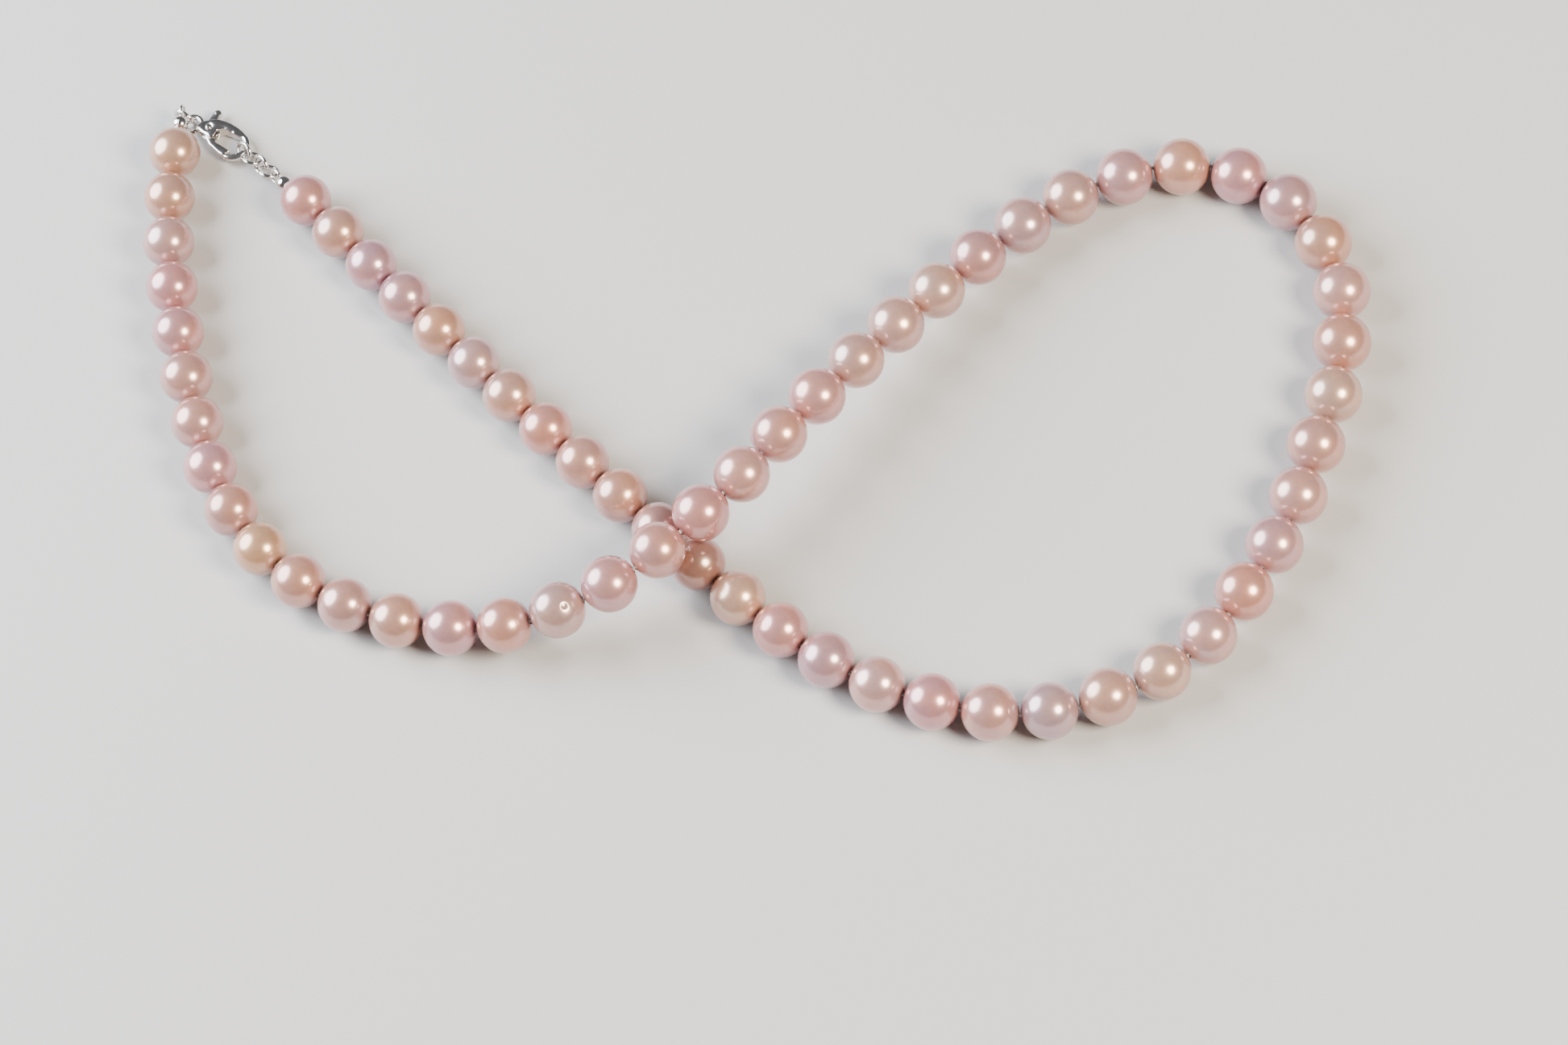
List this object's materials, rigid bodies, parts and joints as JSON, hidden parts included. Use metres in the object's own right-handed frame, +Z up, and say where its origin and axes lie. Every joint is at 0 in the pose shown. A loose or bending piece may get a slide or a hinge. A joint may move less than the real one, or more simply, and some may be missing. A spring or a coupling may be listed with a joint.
{
  "type": "pearl necklace",
  "caption": "Single-strand necklace of round pearls on silk thread, with bead tips, a short link chain and a lobster clasp, laid down in a loose figure of eight.",
  "frame": {"origin": "bottom centre of the necklace as it lies, on the surface that it rests on", "axes": "+X to the closed end of the larger lobe, +Y towards the clasp, +Z up from the surface"},
  "size_m": [0.1446, 0.1111, 0.0127],
  "materials": {
    "pearl": "nacre, high lustre, rose and cream",
    "silk": "twisted silk bead cord",
    "silver": "polished silver"
  },
  "bodies": {
    "crossing": {"pearls_16_20": "pearl", "pearls_50_53": "pearl", "silk_thread": "silk"},
    "right_fold_1": {"pearls_21_23": "pearl", "pearls_47_49": "pearl"},
    "right_fold_2": {"pearls_24_26": "pearl", "pearls_44_46": "pearl"},
    "right_fold_3": {"pearls_27_29": "pearl", "pearls_41_43": "pearl"},
    "right_fold_4": {"pearls_30_32": "pearl", "pearls_38_40": "pearl"},
    "right_fold_5": {"pearls_33_37": "pearl"},
    "left_fold_1": {"pearls_13_15": "pearl", "pearls_54_55": "pearl"},
    "left_fold_2": {"pearls_10_12": "pearl", "pearls_56_57": "pearl"},
    "left_fold_3": {"pearls_7_9": "pearl", "pearls_58_59": "pearl"},
    "left_fold_4": {"pearls_4_6": "pearl", "pearls_60_61": "pearl"},
    "left_fold_5": {"pearls_1_3": "pearl", "pearl_62": "pearl", "bead_tip_a": "silver", "bead_tip_b": "silver", "silk_knot_a": "silk", "silk_knot_b": "silk"},
    "clasp": {"claw": "silver", "lever_rivet": "silver", "lever_spring": "silver"},
    "lever": {"claw_lever": "silver"},
    "ring": {"jump_ring": "silver"},
    "link_1": {"link_1": "silver"},
    "link_2": {"link_2": "silver"},
    "link_3": {"link_3": "silver"},
    "link_4": {"link_4": "silver"},
    "bead_2": {"pearl_2": "pearl"},
    "bead_5": {"pearl_5": "pearl"},
    "bead_8": {"pearl_8": "pearl"},
    "bead_11": {"pearl_11": "pearl"},
    "bead_14": {"pearl_14": "pearl"},
    "bead_16": {"pearl_16": "pearl"},
    "bead_22": {"pearl_22": "pearl"},
    "bead_25": {"pearl_25": "pearl"},
    "bead_28": {"pearl_28": "pearl"},
    "bead_31": {"pearl_31": "pearl"},
    "bead_35": {"pearl_35": "pearl"}
  },
  "joints": [
    {"name": "right_fold_1_lift", "type": "hinge", "parent": "crossing", "child": "right_fold_1", "pos_m": [-0.00497, -0.02317, 0.00602], "axis": [-0.2228, -0.9316, -0.287], "range_deg": [0, 15], "deforming": ["silk_thread"]},
    {"name": "right_fold_2_lift", "type": "hinge", "parent": "right_fold_1", "child": "right_fold_2", "pos_m": [0.01032, -0.02388, 0.00486], "axis": [-0.1355, -0.9885, -0.0676], "range_deg": [0, 15]},
    {"name": "right_fold_3_lift", "type": "hinge", "parent": "right_fold_2", "child": "right_fold_3", "pos_m": [0.02867, -0.02129, 0.00369], "axis": [-0.0678, -0.9977, -0.0099], "range_deg": [0, 15]},
    {"name": "right_fold_4_lift", "type": "hinge", "parent": "right_fold_3", "child": "right_fold_4", "pos_m": [0.04835, -0.01486, 0.00346], "axis": [-0.0871, -0.9962, -0.0009], "range_deg": [0, 15]},
    {"name": "right_fold_5_lift", "type": "hinge", "parent": "right_fold_4", "child": "right_fold_5", "pos_m": [0.06337, -0.01278, 0.00348], "axis": [-0.2496, -0.9683, -0.0006], "range_deg": [0, 15]},
    {"name": "left_fold_1_lift", "type": "hinge", "parent": "crossing", "child": "left_fold_1", "pos_m": [-0.02753, -0.01877, 0.00451], "axis": [0.5274, 0.8415, -0.117], "range_deg": [0, 15]},
    {"name": "left_fold_2_lift", "type": "hinge", "parent": "left_fold_1", "child": "left_fold_2", "pos_m": [-0.04043, -0.0099, 0.00324], "axis": [0.716, 0.6981, 0.0007], "range_deg": [0, 15]},
    {"name": "left_fold_3_lift", "type": "hinge", "parent": "left_fold_2", "child": "left_fold_3", "pos_m": [-0.05048, 0.00301, 0.00323], "axis": [0.8414, 0.5405, -0.0011], "range_deg": [0, 15]},
    {"name": "left_fold_4_lift", "type": "hinge", "parent": "left_fold_3", "child": "left_fold_4", "pos_m": [-0.05578, 0.01826, 0.00321], "axis": [0.9273, 0.3744, -0.0013], "range_deg": [0, 15]},
    {"name": "left_fold_5_lift", "type": "hinge", "parent": "left_fold_4", "child": "left_fold_5", "pos_m": [-0.05913, 0.03369, 0.00328], "axis": [0.9941, 0.1088, 0.0058], "range_deg": [0, 15]},
    {"name": "bead_2_spin", "type": "hinge", "parent": "left_fold_5", "child": "bead_2", "pos_m": [-0.06764, 0.04232, 0.00318], "axis": [-0.1951, -0.9808, -0.003], "continuous": true},
    {"name": "bead_5_spin", "type": "hinge", "parent": "left_fold_4", "child": "bead_5", "pos_m": [-0.06912, 0.02285, 0.0032], "axis": [0.0043, -1, 0.005], "continuous": true},
    {"name": "bead_8_spin", "type": "hinge", "parent": "left_fold_3", "child": "bead_8", "pos_m": [-0.06774, 0.00325, 0.00325], "axis": [0.1726, -0.985, 0.0061], "continuous": true},
    {"name": "bead_11_spin", "type": "hinge", "parent": "left_fold_2", "child": "bead_11", "pos_m": [-0.05945, -0.01454, 0.0033], "axis": [0.6721, -0.7405, 0.0037], "continuous": true},
    {"name": "bead_14_spin", "type": "hinge", "parent": "left_fold_1", "child": "bead_14", "pos_m": [-0.0427, -0.02527, 0.00373], "axis": [0.9298, -0.3481, 0.1193], "continuous": true},
    {"name": "bead_16_spin", "type": "hinge", "parent": "crossing", "child": "bead_16", "pos_m": [-0.0298, -0.0275, 0.00665], "axis": [0.9641, 0.046, 0.2613], "continuous": true},
    {"name": "bead_22_spin", "type": "hinge", "parent": "right_fold_1", "child": "bead_22", "pos_m": [0.00515, -0.00775, 0.00773], "axis": [0.7832, 0.6097, -0.1216], "continuous": true},
    {"name": "bead_25_spin", "type": "hinge", "parent": "right_fold_2", "child": "bead_25", "pos_m": [0.02196, 0.00437, 0.00506], "axis": [0.8207, 0.558, -0.1223], "continuous": true},
    {"name": "bead_28_spin", "type": "hinge", "parent": "right_fold_3", "child": "bead_28", "pos_m": [0.04051, 0.01402, 0.00348], "axis": [0.9581, 0.2858, -0.0208], "continuous": true},
    {"name": "bead_31_spin", "type": "hinge", "parent": "right_fold_4", "child": "bead_31", "pos_m": [0.06087, 0.01184, 0.00345], "axis": [0.8111, -0.585, 0.0014], "continuous": true},
    {"name": "bead_35_spin", "type": "hinge", "parent": "right_fold_5", "child": "bead_35", "pos_m": [0.06715, -0.01367, 0.00349], "axis": [-0.3323, -0.9432, -0.0026], "continuous": true},
    {"name": "clasp_lift", "type": "hinge", "parent": "left_fold_5", "child": "clasp", "pos_m": [-0.06442, 0.05439, 0.00302], "axis": [0.6468, -0.7611, -0.0484], "range_deg": [0, 20]},
    {"name": "link_1_roll", "type": "hinge", "parent": "clasp", "child": "link_1", "pos_m": [-0.05503, 0.04359, 0.00205], "axis": [-0.5473, 0.8226, -0.154], "range_deg": [-20, 20]},
    {"name": "link_2_roll", "type": "hinge", "parent": "clasp", "child": "link_2", "pos_m": [-0.05595, 0.04497, 0.00179], "axis": [-0.5473, 0.8226, -0.154], "range_deg": [-20, 20]},
    {"name": "link_3_roll", "type": "hinge", "parent": "clasp", "child": "link_3", "pos_m": [-0.05687, 0.04635, 0.00154], "axis": [-0.5473, 0.8226, -0.154], "range_deg": [-20, 20]},
    {"name": "link_4_roll", "type": "hinge", "parent": "clasp", "child": "link_4", "pos_m": [-0.05779, 0.04773, 0.00128], "axis": [-0.5473, 0.8226, -0.154], "range_deg": [-20, 5]},
    {"name": "jump_ring_turn", "type": "hinge", "parent": "clasp", "child": "ring", "pos_m": [-0.06442, 0.05439, 0.00168], "axis": [-0.6992, -0.7149, 0], "continuous": true},
    {"name": "lever_open", "type": "hinge", "parent": "clasp", "child": "lever", "pos_m": [-0.06163, 0.05221, 0.0011], "axis": [0, 0, 1], "range_deg": [0, 20], "stiffness_Nm_per_rad": 0.002, "deforming": ["lever_spring"]}
  ]
}
